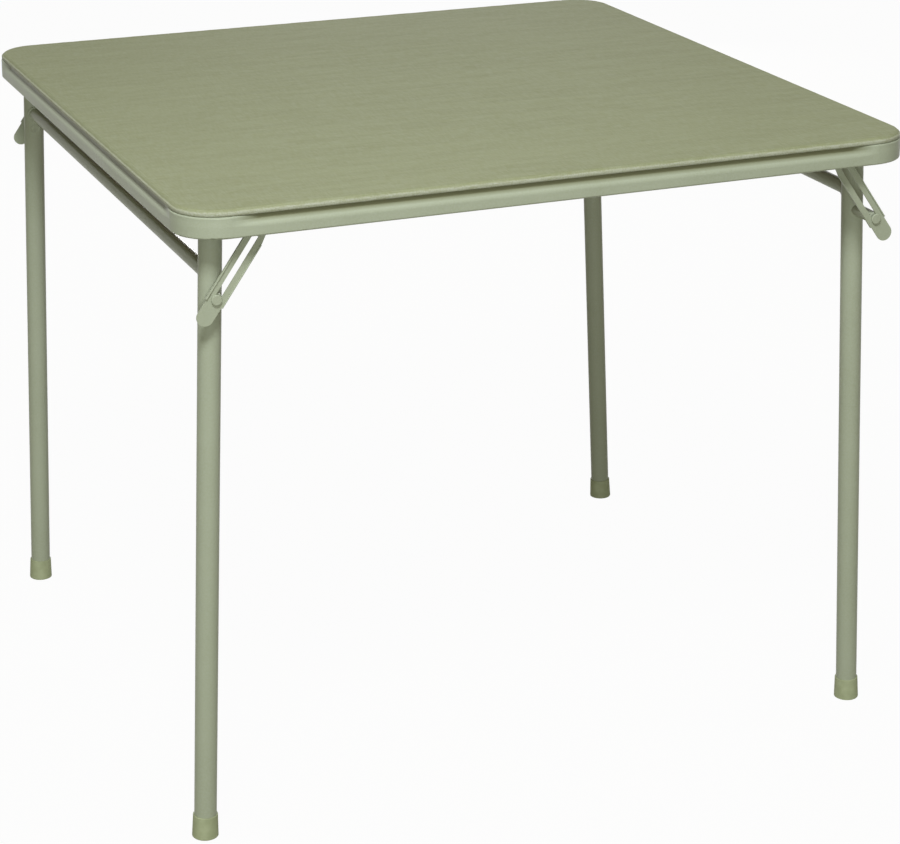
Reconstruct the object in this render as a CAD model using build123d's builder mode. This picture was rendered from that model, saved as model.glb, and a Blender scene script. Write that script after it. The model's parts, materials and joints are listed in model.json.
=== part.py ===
from build123d import *
from math import atan2, cos, radians, sin, tan
import os

os.makedirs("parts", exist_ok=True)

# Folding card table, open and standing on its four feet.
# X runs along the front edge, -Y is the front, and the origin is on the floor under the middle.

# Overall size of the open table
table_width = 864.0
table_height = 737.0
corner_radius = 50.0

# Padded top: a vinyl cover drawn round foam and hardboard
cover_setback = 1.0
cover_thickness = 1.0
cover_lower_radius = 1.6
cover_turn_under = 36.0
board_thickness = 3.2
board_clearance = 0.1
foam_thickness = 2.3
foam_clearance = 0.3
foam_edge_share = 0.8

# Apron: one strip of steel rolled to a section, then bent round the table
sheet_thickness = 1.2
apron_height = 23.5
flange_width = 24.0
recess_depth = 4.5
recess_height = 5.0
shoulder_drop = 5.5
corner_recess_depth = 0.3
hem_width = 7.0
hem_height = 4.2
top_bend_radius = 1.8
recess_bend_radius = 1.6
shoulder_bend_radius = 6.5
lower_bend_radius = 2.4
hem_bend_radius = 1.9
full_corner_run = 2.0
recess_runout_length = 30.0
seam_gap = 0.4
splice_length = 62.0
splice_height = 8.0
splice_thickness = 1.2
splice_corner_radius = 3.0

# Stamped plates under the corners
plate_thickness = 1.5
gusset_edge_inset = 8.0
gusset_corner_radius = 38.0
gusset_reach = 26.0
gusset_chamfer = 22.0

# Legs: steel tube, two pairs that nest when folded
tube_radius = 12.7
tube_wall = 1.2
leg_splay = 2.6
pivot_inset_x = 41.0
pivot_below_flange = 20.3
leg_top_end = 7.5
left_pair_inset_y = 43.0
right_pair_inset_y = 71.5
crossbar_radius = 8.0
crossbar_wall = 1.2
crossbar_drop = 51.0
cope_gap = 0.05

# Leg hinges
cheek_gap = 0.3
cheek_end_radius = 8.5
cheek_root_width = 30.0
pin_radius = 3.175
pin_fit = 0.05
pin_head_radius = 5.6
pin_head_height = 2.2
pin_tail_radius = 4.6
pin_tail_height = 1.4
head_edge_radius = 0.9

# Rubber foot caps
cap_mouth_wall = 1.3
cap_sole_wall = 2.3
cap_height = 27.0
cap_floor = 4.0
cap_sole_round = 1.5
cap_mouth_round = 0.6

# Slotted braces, one beside each leg
brace_angle = 55.0
brace_plane_inset = 20.5
brace_thickness = 1.5
brace_width = 22.0
brace_flange_height = 3.0
brace_flange_thickness = 1.5
brace_root_radius = 8.5
brace_neck_length = 14.0
brace_tab_radius = 9.6
brace_tab_reach = 22.0
brace_flange_overrun = 5.0
brace_edge_round = 0.5
slot_width = 7.0
slot_head_reach = 9.2
rivet_drop = 71.0
stop_gap = 0.3

# Brace pivots and the rivets that run in the slots
bracket_width = 18.0
bracket_edge_inset = 8.0
bracket_end_radius = 8.5
brace_pivot_radius = 3.0
brace_pivot_head_radius = 5.2
brace_pivot_head_height = 2.0
brace_pivot_tail_radius = 4.4
brace_pivot_tail_height = 1.3
slot_rivet_radius = 3.2
slot_rivet_head_radius = 5.8
slot_rivet_head_height = 2.4
head_lift = 0.1
shoulder_radius = 7.0
shoulder_tenon_radius = 4.0
shoulder_tail_radius = 5.0
spot_face_radius = 5.5
spot_face_depth = 1.0
tail_sink = 0.1
shoulder_edge_round = 0.6

# Pan head screws that hold the top down
screw_radius = 1.7
screw_fit = 0.05
screw_hole_radius = 2.1
screw_head_radius = 3.4
screw_head_height = 2.2
screw_head_round = 1.2
screw_bite = 2.5
screw_inset = 15.0
rail_screw_spacing = 260.0
gusset_screw_offset = 20.0

# One overrun serves every cut
overrun = 5.0

# Levels
half_width = table_width / 2
cover_bottom_z = table_height - 2 * cover_thickness - board_thickness - foam_thickness
board_bottom_z = cover_bottom_z + cover_thickness
board_top_z = board_bottom_z + board_thickness
foam_edge_radius = foam_edge_share * foam_thickness
apron_bottom_z = cover_bottom_z - apron_height
flange_bottom_z = cover_bottom_z - sheet_thickness
gusset_bottom_z = flange_bottom_z - plate_thickness
hinge_web_bottom_z = gusset_bottom_z - plate_thickness

# Leg line and the brace triangle, seen from the front
pivot_x = half_width - pivot_inset_x
pivot_z = flange_bottom_z - pivot_below_flange
splay_x = sin(radians(leg_splay))
splay_z = cos(radians(leg_splay))
leg_length = pivot_z / splay_z
rivet_reach = rivet_drop / splay_z
brace_length = rivet_drop / sin(radians(brace_angle))
brace_pivot_x = pivot_x + rivet_reach * splay_x - brace_length * cos(radians(brace_angle))

# Places across the table
brace_inner_y = half_width - brace_plane_inset
cheek_inner = tube_radius + cheek_gap
cheek_outer = cheek_inner + plate_thickness
screw_y = half_width - screw_inset

sides = {"left": -1, "right": 1}
ends = {"front": -1, "back": 1}
pair_y = {"left": half_width - left_pair_inset_y, "right": half_width - right_pair_inset_y}


def rounded_square(inset):
    """A square with the table's corners, drawn in from its outline by an inset."""
    width = table_width - 2 * inset
    RectangleRounded(width, width, corner_radius - inset)


def leg_plane(sx, sy, side, distance=0):
    """The plane across a leg at a distance below its pivot, facing down along the leg."""
    origin = (
        sx * (pivot_x + distance * splay_x),
        sy * pair_y[side],
        pivot_z - distance * splay_z,
    )
    return Plane(origin=origin, x_dir=(0, 1, 0), z_dir=(sx * splay_x, 0, -splay_z))


def outward_plane(x, y, z, sy):
    """A plane at y that faces out to the front or the back, with its own Y pointing up."""
    return Plane(origin=(x, y, z), x_dir=(-sy, 0, 0), z_dir=(0, sy, 0))


def turned(plane, outline, rounds):
    """A turned piece: (radius, distance) points from axis to axis, spun round the plane's normal."""
    half = Plane(origin=plane.origin, x_dir=plane.x_dir, z_dir=plane.x_dir.cross(plane.z_dir))
    with BuildPart() as piece:
        with BuildSketch(half):
            with BuildLine():
                FilletPolyline(*outline, radius=rounds)
                Line(outline[-1], outline[0])
            make_face()
        revolve(axis=Axis(plane.origin, plane.z_dir))
    return piece.part


def screw_places():
    """Screws through gussets and brace brackets first, then those through the bare flange."""
    under_plates = []
    for side, sx in sides.items():
        for sy in ends.values():
            under_plates.append((sx * pivot_x, sy * screw_y))
            under_plates.append((sx * screw_y, sy * (pair_y[side] - gusset_screw_offset)))
            under_plates.append((sx * brace_pivot_x, sy * screw_y))
    in_flange = []
    for along in (-rail_screw_spacing / 2, rail_screw_spacing / 2):
        for sign in (-1, 1):
            in_flange.append((along, sign * screw_y))
            in_flange.append((sign * screw_y, along))
    return under_plates, in_flange


plate_screws, flange_screws = screw_places()
all_screws = plate_screws + flange_screws


# The room inside the cover, for the board and the foam on it
with BuildPart() as cover_room:
    with BuildSketch(Plane.XY.offset(board_bottom_z)):
        rounded_square(cover_setback + cover_thickness)
    extrude(amount=board_thickness + foam_thickness)
    fillet(cover_room.faces().sort_by(Axis.Z)[-1].edges(), radius=foam_edge_radius)

# Vinyl cover: a thin skin over the top and edges, turned under all round
with BuildPart() as vinyl_cover:
    with BuildSketch(Plane.XY.offset(cover_bottom_z)):
        rounded_square(cover_setback)
    extrude(amount=table_height - cover_bottom_z)
    upper_edges = vinyl_cover.faces().sort_by(Axis.Z)[-1].edges()
    fillet(upper_edges, radius=foam_edge_radius + cover_thickness)
    fillet(vinyl_cover.faces().sort_by(Axis.Z)[0].edges(), radius=cover_lower_radius)
    add(cover_room.part, mode=Mode.SUBTRACT)
    with BuildSketch(Plane.XY.offset(cover_bottom_z - overrun)):
        rounded_square(cover_setback + cover_turn_under)
        with Locations(*all_screws):
            Circle(screw_hole_radius)
    extrude(amount=overrun + cover_thickness, mode=Mode.SUBTRACT)
vinyl_cover.part.label = "vinyl_cover"
export_step(vinyl_cover.part, "parts/vinyl_cover.step")

# Foam pad, rounded over at its upper edge
with BuildPart() as foam_pad:
    with BuildSketch(Plane.XY.offset(board_top_z)):
        rounded_square(cover_setback + cover_thickness + foam_clearance)
    extrude(amount=foam_thickness)
    fillet(foam_pad.faces().sort_by(Axis.Z)[-1].edges(), radius=foam_edge_radius)
foam_pad.part.label = "foam_pad"
export_step(foam_pad.part, "parts/foam_pad.step")

# Hardboard panel, with pilot holes for the screws
with BuildPart() as hardboard_panel:
    with BuildSketch(Plane.XY.offset(board_bottom_z)):
        rounded_square(cover_setback + cover_thickness + board_clearance)
    extrude(amount=board_thickness)
    with BuildSketch(Plane.XY.offset(board_bottom_z)):
        with Locations(*all_screws):
            Circle(screw_radius + screw_fit)
    extrude(amount=screw_bite + screw_fit, mode=Mode.SUBTRACT)
hardboard_panel.part.label = "hardboard_panel"
export_step(hardboard_panel.part, "parts/hardboard_panel.step")


def apron_section(x, recess):
    """The rolled section at x on the front rail: flange, recess, skirt and hem."""
    plane = Plane(origin=(x, -half_width, apron_bottom_z), x_dir=(0, 1, 0), z_dir=(1, 0, 0))
    recess_foot = apron_height - recess_height
    shoulder_foot = recess_foot - shoulder_drop
    # On the inner face both bends of the sloped part sit a little lower
    inner_drop = sheet_thickness * tan(atan2(recess, shoulder_drop) / 2)
    outer_face = [
        ((flange_width, apron_height), 0),
        ((recess, apron_height), top_bend_radius),
        ((recess, recess_foot), recess_bend_radius),
        ((0, shoulder_foot), shoulder_bend_radius),
        ((0, 0), lower_bend_radius),
        ((hem_width, 0), hem_bend_radius),
        ((hem_width, hem_height), 0),
    ]
    inner_face = [
        ((hem_width - sheet_thickness, hem_height), 0),
        ((hem_width - sheet_thickness, sheet_thickness), hem_bend_radius - sheet_thickness),
        ((sheet_thickness, sheet_thickness), lower_bend_radius - sheet_thickness),
        ((sheet_thickness, shoulder_foot - inner_drop), shoulder_bend_radius - sheet_thickness),
        ((recess + sheet_thickness, recess_foot - inner_drop), recess_bend_radius + sheet_thickness),
        ((recess + sheet_thickness, apron_height - sheet_thickness), top_bend_radius - sheet_thickness),
        ((flange_width, apron_height - sheet_thickness), 0),
    ]
    corners, radii = zip(*outer_face, *inner_face)
    with BuildSketch(plane) as section:
        with BuildLine():
            FilletPolyline(*corners, radius=radii, close=True)
        make_face()
    return section.sketch.face()


# Apron: an eighth of the ring is formed, mirrored at its corner and repeated round the table.
# The recess under the top runs out before each corner, where the strip was bent round full.
corner_start = half_width - corner_radius
runout_end = corner_start - full_corner_run
runout_start = runout_end - recess_runout_length
with BuildPart() as apron_eighth:
    extrude(apron_section(0, recess_depth), amount=runout_start)
    recessed = apron_section(runout_start, recess_depth)
    full = apron_section(runout_end, corner_recess_depth)
    loft([recessed, full], ruled=True)
    extrude(full, amount=full_corner_run)
    bend_axis = Axis((corner_start, -corner_start, 0), (0, 0, 1))
    bend_start = apron_section(corner_start, corner_recess_depth)
    revolve(bend_start, axis=bend_axis, revolution_arc=45)
with BuildPart() as apron_quarter:
    add(apron_eighth.part)
    mirror(about=Plane(origin=(0, 0, 0), x_dir=(0, 0, 1), z_dir=(1, 1, 0)))
with BuildPart() as apron_frame:
    with PolarLocations(0, 4):
        add(apron_quarter.part)
    with BuildSketch(Plane.XY.offset(apron_bottom_z - overrun)):
        with Locations((0, half_width)):
            Rectangle(seam_gap, 2 * (flange_width + overrun))
    extrude(amount=apron_height + 2 * overrun, mode=Mode.SUBTRACT)
    with BuildSketch(Plane.XY.offset(flange_bottom_z - sheet_thickness)):
        with Locations(*all_screws):
            Circle(screw_hole_radius)
    extrude(amount=3 * sheet_thickness, mode=Mode.SUBTRACT)
apron_frame.part.label = "apron_frame"
export_step(apron_frame.part, "parts/apron_frame.step")

# Splice plate, welded inside the skirt across the seam at the back, halfway up its flat part
splice_z = apron_bottom_z + (apron_height - recess_height - shoulder_drop) / 2
with BuildPart() as frame_splice:
    with BuildSketch(outward_plane(0, half_width - sheet_thickness, splice_z, -1)):
        RectangleRounded(splice_length, splice_height, splice_corner_radius)
    extrude(amount=splice_thickness)
frame_splice.part.label = "frame_splice"
export_step(frame_splice.part, "parts/frame_splice.step")


def corner_gusset(sx, sy, side):
    """Flat plate welded under the flange at a corner, with its inner corner cut away."""
    outer = half_width - gusset_edge_inset
    inner_x = pivot_x - gusset_reach
    inner_y = pair_y[side] - gusset_reach
    with BuildPart() as gusset:
        with BuildSketch(Plane.XY.offset(gusset_bottom_z)) as outline:
            with BuildLine():
                FilletPolyline(
                    (sx * inner_x, sy * outer),
                    (sx * outer, sy * outer),
                    (sx * outer, sy * inner_y),
                    (sx * (inner_x + gusset_chamfer), sy * inner_y),
                    (sx * inner_x, sy * (inner_y + gusset_chamfer)),
                    radius=[0, gusset_corner_radius, 0, 0, 0],
                    close=True,
                )
            make_face()
            with Locations(*plate_screws):
                Circle(screw_hole_radius, mode=Mode.SUBTRACT)
        extrude(amount=plate_thickness)
    return gusset.part


def hinge_bracket(sx, sy, side):
    """U of sheet steel under the gusset: a web and two cheeks that hold the leg's pin."""
    x = sx * pivot_x
    y = sy * pair_y[side]
    web_rise = gusset_bottom_z - pivot_z - plate_thickness / 2
    with BuildPart() as bracket:
        with BuildSketch(Plane.XY.offset(hinge_web_bottom_z)):
            with Locations((x, y)):
                Rectangle(cheek_root_width, 2 * cheek_outer)
        extrude(amount=plate_thickness)
        for sign in (-1, 1):
            with BuildSketch(outward_plane(x, y + sign * cheek_inner, pivot_z, sign)):
                Circle(cheek_end_radius)
                with Locations((0, web_rise)):
                    Rectangle(cheek_root_width, plate_thickness)
                make_hull()
            extrude(amount=plate_thickness)
        with BuildSketch(outward_plane(x, y - cheek_outer, pivot_z, 1)):
            Circle(pin_radius + pin_fit)
        extrude(amount=2 * cheek_outer, mode=Mode.SUBTRACT)
    return bracket.part


def hinge_pin(sx, sy, side):
    """Rivet through the cheeks and the leg, with its head outward and its tail formed inside."""
    plane = outward_plane(sx * pivot_x, sy * (pair_y[side] - cheek_outer), pivot_z, sy)
    span = 2 * cheek_outer
    outline = [
        (0, -pin_tail_height),
        (pin_tail_radius, -pin_tail_height),
        (pin_tail_radius, 0),
        (pin_radius, 0),
        (pin_radius, span),
        (pin_head_radius, span),
        (pin_head_radius, span + pin_head_height),
        (0, span + pin_head_height),
    ]
    return turned(plane, outline, [head_edge_radius, 0, 0, 0, 0, head_edge_radius])


def leg_tube(sx, sy, side):
    """Leg tube with its pivot hole, and a hole and spot face for the shoulder rivet."""
    inner_y = sy * (pair_y[side] - tube_radius)
    x, y, z = leg_plane(sx, sy, side, rivet_reach).origin
    with BuildPart() as tube:
        with BuildSketch(leg_plane(sx, sy, side, -leg_top_end)):
            Circle(tube_radius)
            Circle(tube_radius - tube_wall, mode=Mode.SUBTRACT)
        extrude(amount=leg_top_end + leg_length - cap_floor)
        with BuildSketch(outward_plane(sx * pivot_x, inner_y, pivot_z, sy)):
            Circle(pin_radius + pin_fit)
        extrude(amount=2 * tube_radius, mode=Mode.SUBTRACT)
        with BuildSketch(outward_plane(x, inner_y, z, sy)):
            Circle(shoulder_tenon_radius + pin_fit)
        extrude(amount=2 * tube_radius, mode=Mode.SUBTRACT)
        with BuildSketch(outward_plane(x, inner_y, z, sy)):
            Circle(spot_face_radius)
        extrude(amount=spot_face_depth, mode=Mode.SUBTRACT)
    return tube.part


def foot_cap(sx, sy, side):
    """Tapered rubber cap pushed onto the tube, with its sole cut level with the floor."""
    top_radius = tube_radius + cap_mouth_wall
    sole_radius = tube_radius + cap_sole_wall
    tilt_drop = sole_radius * tan(radians(leg_splay))
    sole = cap_height + tilt_drop
    plane = leg_plane(sx, sy, side, leg_length - cap_height)
    bore = tube_radius + cope_gap
    outline = [
        (0, sole),
        (sole_radius, sole),
        (top_radius, 0),
        (bore, 0),
        (bore, cap_height - cap_floor),
        (0, cap_height - cap_floor),
    ]
    cap = turned(plane, outline, [cap_sole_round, cap_mouth_round, 0, 0])
    with BuildPart() as level_cap:
        add(cap)
        split(bisect_by=Plane.XY, keep=Keep.TOP)
    return level_cap.part


def shoulder_rivet(sx, sy, side):
    """Spacer pin between leg and brace, tenoned through the tube and formed over inside."""
    x, y, z = leg_plane(sx, sy, side, rivet_reach).origin
    plane = outward_plane(x, sy * (pair_y[side] - tube_radius), z, sy)
    crown = 2 * tube_radius
    stop = brace_inner_y - stop_gap - pair_y[side] + tube_radius
    spacer = [
        (0, tube_radius),
        (shoulder_radius, tube_radius),
        (shoulder_radius, stop),
        (0, stop),
    ]
    tenon = [
        (0, tail_sink),
        (shoulder_tail_radius, tail_sink),
        (shoulder_tail_radius, spot_face_depth),
        (shoulder_tenon_radius, spot_face_depth),
        (shoulder_tenon_radius, crown),
        (0, crown),
    ]
    with BuildPart() as shoulder:
        add(turned(plane, spacer, [0, shoulder_edge_round]))
        with BuildSketch(leg_plane(sx, sy, side)):
            Circle(tube_radius + cope_gap)
        extrude(amount=leg_length, mode=Mode.SUBTRACT)
        add(turned(plane, tenon, [0, 0, 0, 0]))
    return shoulder.part


def crossbar(sx, side):
    """Tube between the legs of a pair, coped at each end to the round of the leg."""
    x, y, z = leg_plane(sx, 1, side, crossbar_drop / splay_z).origin
    with BuildPart() as bar:
        with BuildSketch(outward_plane(x, -y, z, 1)):
            Circle(crossbar_radius)
            Circle(crossbar_radius - crossbar_wall, mode=Mode.SUBTRACT)
        extrude(amount=2 * y)
        for sy in ends.values():
            with BuildSketch(leg_plane(sx, sy, side)):
                Circle(tube_radius + cope_gap)
            extrude(amount=leg_length, mode=Mode.SUBTRACT)
    return bar.part


def brace_plane(sx, sy, height):
    """The brace's own plane at its pivot: X runs down the strap and Z faces outward."""
    return Plane(
        origin=(sx * brace_pivot_x, sy * (brace_inner_y + height), pivot_z),
        x_dir=(sx * cos(radians(brace_angle)), 0, -sin(radians(brace_angle))),
        z_dir=(0, sy, 0),
    )


def brace_strap(sx, sy):
    """Slotted strap: round root, two flanged rails beside the slot, and a flat round thumb tab."""
    plane = brace_plane(sx, sy, 0)
    rail_end = brace_length + brace_flange_overrun
    rail_length = rail_end - brace_neck_length
    rail_middle = (rail_end + brace_neck_length) / 2
    flange_offset = (brace_width - brace_flange_thickness) / 2
    with BuildPart() as strap:
        with BuildSketch(plane):
            Circle(brace_root_radius)
            with Locations((brace_neck_length + brace_flange_thickness, 0)):
                Rectangle(2 * brace_flange_thickness, brace_width)
            make_hull()
        extrude(amount=brace_thickness)
        with BuildSketch(plane):
            with Locations((rail_middle, 0)):
                Rectangle(rail_length, brace_width)
            with Locations((brace_length + brace_tab_reach / 2, 0)):
                SlotCenterToCenter(brace_tab_reach, 2 * brace_tab_radius)
        extrude(amount=brace_thickness)
        with BuildSketch(plane):
            with Locations((rail_middle, -flange_offset), (rail_middle, flange_offset)):
                Rectangle(rail_length, brace_flange_thickness)
        extrude(amount=brace_flange_height)
        flange_tops = strap.faces().filter_by(Plane.XZ).group_by(Axis.Y)[-1 if sy > 0 else 0]
        long_edges = flange_tops.edges().filter_by(Axis(plane.origin, plane.x_dir))
        fillet(long_edges, radius=brace_edge_round)
        with BuildSketch(plane):
            Circle(brace_pivot_radius + pin_fit)
            with Locations(((slot_head_reach + brace_length) / 2, 0)):
                SlotCenterToCenter(brace_length - slot_head_reach, slot_width)
        extrude(amount=brace_thickness, mode=Mode.SUBTRACT)
    return strap.part


def brace_bracket(sx, sy):
    """Bent plate that hangs the brace: a lug beside the strap and a tab under the flange."""
    lug_outer = brace_inner_y - stop_gap
    lug_inner = lug_outer - plate_thickness
    tab_rise = gusset_bottom_z - pivot_z + plate_thickness / 2
    tab_width = half_width - bracket_edge_inset - lug_inner
    with BuildPart() as bracket:
        with BuildSketch(outward_plane(sx * brace_pivot_x, sy * lug_inner, pivot_z, sy)):
            Circle(bracket_end_radius)
            with Locations((0, tab_rise)):
                Rectangle(bracket_width, plate_thickness)
            make_hull()
            Circle(brace_pivot_radius + pin_fit, mode=Mode.SUBTRACT)
        extrude(amount=plate_thickness)
        with BuildSketch(Plane.XY.offset(gusset_bottom_z)):
            with Locations((sx * brace_pivot_x, sy * (lug_inner + tab_width / 2))):
                Rectangle(bracket_width, tab_width)
            with Locations((sx * brace_pivot_x, sy * screw_y)):
                Circle(screw_hole_radius, mode=Mode.SUBTRACT)
        extrude(amount=plate_thickness)
    return bracket.part


def brace_pivot_rivet(sx, sy):
    """Rivet that joins the brace's root to its bracket and lets it swing."""
    lug_inner = brace_inner_y - stop_gap - plate_thickness
    span = plate_thickness + stop_gap + brace_thickness + head_lift
    outline = [
        (0, -brace_pivot_tail_height),
        (brace_pivot_tail_radius, -brace_pivot_tail_height),
        (brace_pivot_tail_radius, 0),
        (brace_pivot_radius, 0),
        (brace_pivot_radius, span),
        (brace_pivot_head_radius, span),
        (brace_pivot_head_radius, span + brace_pivot_head_height),
        (0, span + brace_pivot_head_height),
    ]
    plane = outward_plane(sx * brace_pivot_x, sy * lug_inner, pivot_z, sy)
    return turned(plane, outline, [head_edge_radius, 0, 0, 0, 0, head_edge_radius])


def slot_rivet(sx, sy, side):
    """The shoulder rivet's outer end: a shank in the slot and the head that keeps the strap on."""
    x, y, z = leg_plane(sx, sy, side, rivet_reach).origin
    span = brace_thickness + head_lift
    outline = [
        (0, 0),
        (slot_rivet_radius, 0),
        (slot_rivet_radius, span),
        (slot_rivet_head_radius, span),
        (slot_rivet_head_radius, span + slot_rivet_head_height),
        (0, span + slot_rivet_head_height),
    ]
    plane = outward_plane(x, sy * brace_inner_y, z, sy)
    return turned(plane, outline, [0, 0, 0, head_edge_radius])


# One of each piece at each leg: front and back, left and right
for side, sx in sides.items():
    for end, sy in ends.items():
        pieces = {
            "corner_gusset": corner_gusset(sx, sy, side),
            "hinge_bracket": hinge_bracket(sx, sy, side),
            "hinge_pin": hinge_pin(sx, sy, side),
            "leg_tube": leg_tube(sx, sy, side),
            "foot_cap": foot_cap(sx, sy, side),
            "shoulder_rivet": shoulder_rivet(sx, sy, side),
            "brace_bracket": brace_bracket(sx, sy),
            "brace_pivot_rivet": brace_pivot_rivet(sx, sy),
            "brace_strap": brace_strap(sx, sy),
            "slot_rivet": slot_rivet(sx, sy, side),
        }
        for name, piece in pieces.items():
            piece.label = f"{name}_{end}_{side}"
            export_step(piece, f"parts/{piece.label}.step")

# One crossbar to each pair of legs
for side, sx in sides.items():
    bar = crossbar(sx, side)
    bar.label = f"crossbar_{side}"
    export_step(bar, f"parts/{bar.label}.step")

# Pan head screws up through the plates and the flange into the board
with BuildPart() as panel_screws:
    seats = [(place, gusset_bottom_z) for place in plate_screws]
    seats += [(place, flange_bottom_z) for place in flange_screws]
    for (x, y), seat_z in seats:
        reach = board_bottom_z + screw_bite - seat_z
        outline = [
            (0, -screw_head_height),
            (screw_head_radius, -screw_head_height),
            (screw_head_radius, 0),
            (screw_radius, 0),
            (screw_radius, reach),
            (0, reach),
        ]
        plane = Plane(origin=(x, y, seat_z), x_dir=(1, 0, 0), z_dir=(0, 0, 1))
        add(turned(plane, outline, [screw_head_round, 0, 0, 0]))
panel_screws.part.label = "panel_screws"
export_step(panel_screws.part, "parts/panel_screws.step")
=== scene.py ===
import json
from math import atan2, cos, pi, radians, sin, sqrt

import bpy
from mathutils import Matrix, Vector, noise


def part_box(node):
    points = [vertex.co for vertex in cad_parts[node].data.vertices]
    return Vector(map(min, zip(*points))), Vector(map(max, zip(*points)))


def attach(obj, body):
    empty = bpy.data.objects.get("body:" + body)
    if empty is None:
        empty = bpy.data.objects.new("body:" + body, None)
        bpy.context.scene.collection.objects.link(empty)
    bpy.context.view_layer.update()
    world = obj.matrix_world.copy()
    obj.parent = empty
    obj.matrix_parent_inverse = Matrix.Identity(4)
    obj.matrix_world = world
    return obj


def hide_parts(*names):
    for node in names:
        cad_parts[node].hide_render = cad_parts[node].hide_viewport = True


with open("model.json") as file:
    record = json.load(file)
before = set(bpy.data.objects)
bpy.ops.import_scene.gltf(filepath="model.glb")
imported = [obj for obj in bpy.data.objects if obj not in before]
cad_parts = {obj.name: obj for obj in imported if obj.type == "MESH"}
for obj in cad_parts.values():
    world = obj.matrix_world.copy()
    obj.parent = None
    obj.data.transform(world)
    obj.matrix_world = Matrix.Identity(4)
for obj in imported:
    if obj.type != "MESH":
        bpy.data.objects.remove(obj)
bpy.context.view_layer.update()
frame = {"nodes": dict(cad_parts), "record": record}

MM = 0.001

# Sizes repeated from the solids
COVER_HALF = 431 * MM
COVER_CORNER = 49 * MM
COVER_TOP = 737 * MM
COVER_BOTTOM = 729.5 * MM
FLANGE_BOTTOM = 728.3 * MM
GUSSET_BOTTOM = 726.8 * MM
PIVOT_X = 391 * MM
PIVOT_Z = 708 * MM
LEG_SPLAY = radians(2.6)
TUBE_RADIUS = 12.7 * MM
CROSSBAR_RADIUS = 8 * MM
CROSSBAR_DROP = 51 * MM
RIVET_DROP = 71 * MM
PAIR_Y = {"left": 389 * MM, "right": 360.5 * MM}
SIDES = {"left": -1, "right": 1}
ENDS = {"front": -1, "back": 1}

# The groove pressed along the rail under the cover, where shade is painted: its foot, its face and
# its end by a corner
GROOVE_FOOT = 721 * MM
GROOVE_RISE = 4 * MM
GROOVE_FACE = 426.5 * MM
GROOVE_END = 375 * MM
GROOVE_FADE = 25 * MM
# Below this height a highlight is painted on the cover's drawn edge, fully so after a further drop
LIP_HIGHLIGHT_TOP = 735.3 * MM
LIP_HIGHLIGHT_DROP = 1.5 * MM

# Camera, solved from the top's edges, the apron and the feet
CAMERA_PLACE = (-1.12533, -2.86022, 1.45285)
CAMERA_YAW = radians(22.0724)
CAMERA_PITCH = radians(20.5295)
CAMERA_ROLL = radians(0.1939)
FOCAL_PIXELS = 2568.61
PHOTO_WIDTH = 900
SENSOR = 36.0
FAR_CLIP = 100


def place_camera():
    """The photograph's viewpoint."""
    bpy.ops.object.camera_add()
    camera = bpy.context.object
    camera.name = "camera"
    turn = Matrix.Rotation(-CAMERA_YAW, 4, "Z")
    tilt = Matrix.Rotation(pi / 2 - CAMERA_PITCH, 4, "X")
    roll = Matrix.Rotation(-CAMERA_ROLL, 4, "Z")
    camera.matrix_world = Matrix.Translation(CAMERA_PLACE) @ turn @ tilt @ roll
    camera.data.sensor_fit = "HORIZONTAL"
    camera.data.sensor_width = SENSOR
    camera.data.lens = FOCAL_PIXELS * SENSOR / PHOTO_WIDTH
    camera.data.clip_end = FAR_CLIP
    bpy.context.scene.camera = camera


place_camera()


def linear(hex_code):
    """An sRGB hex colour as linear RGBA."""
    channels = [int(hex_code[i : i + 2], 16) / 255 for i in (1, 3, 5)]
    return [c / 12.92 if c <= 0.04045 else ((c + 0.055) / 1.055) ** 2.4 for c in channels] + [1.0]


def add_node(tree, kind, sockets=None, **settings):
    """Adds a node to a tree, sets its settings, and fills or links its sockets."""
    node = tree.nodes.new(kind)
    for key, value in settings.items():
        setattr(node, key, value)
    for key, value in (sockets or {}).items():
        if isinstance(value, bpy.types.NodeSocket):
            tree.links.new(value, node.inputs[key])
        else:
            node.inputs[key].default_value = value
    return node


def new_material(name):
    """An empty material with its output and a Principled shader, and object coordinates."""
    material = bpy.data.materials.new(name)
    material.use_nodes = True
    tree = material.node_tree
    tree.nodes.clear()
    shader = add_node(tree, "ShaderNodeBsdfPrincipled")
    add_node(tree, "ShaderNodeOutputMaterial", {"Surface": shader.outputs["BSDF"]})
    place = add_node(tree, "ShaderNodeTexCoord").outputs["Object"]
    return material, tree, shader, place


def groove_shade_share(tree, place):
    """How far a point lies in the rail's groove under the cover, where shade is painted into the
    paint's colour.
    """
    axes = add_node(tree, "ShaderNodeSeparateXYZ", {"Vector": place})
    across = add_node(tree, "ShaderNodeMath", {0: axes.outputs["X"]}, operation="ABSOLUTE")
    along = add_node(tree, "ShaderNodeMath", {0: axes.outputs["Y"]}, operation="ABSOLUTE")
    both = {0: across.outputs["Value"], 1: along.outputs["Value"]}
    far = add_node(tree, "ShaderNodeMath", both, operation="MAXIMUM")
    near = add_node(tree, "ShaderNodeMath", both, operation="MINIMUM")
    height = add_node(
        tree,
        "ShaderNodeMapRange",
        {
            "Value": axes.outputs["Z"],
            "From Min": GROOVE_FOOT,
            "From Max": GROOVE_FOOT + GROOVE_RISE,
            "To Max": 0.85,
        },
    )
    outside = add_node(
        tree,
        "ShaderNodeMath",
        {0: far.outputs["Value"], 1: GROOVE_FACE},
        operation="GREATER_THAN",
    )
    straight = add_node(
        tree,
        "ShaderNodeMapRange",
        {
            "Value": near.outputs["Value"],
            "From Min": GROOVE_END,
            "From Max": GROOVE_END - GROOVE_FADE,
        },
    )
    share = add_node(
        tree,
        "ShaderNodeMath",
        {0: height.outputs["Result"], 1: outside.outputs["Value"]},
        operation="MULTIPLY",
    )
    share = add_node(
        tree,
        "ShaderNodeMath",
        {0: share.outputs["Value"], 1: straight.outputs["Result"]},
        operation="MULTIPLY",
    )
    return share.outputs["Value"]


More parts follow.
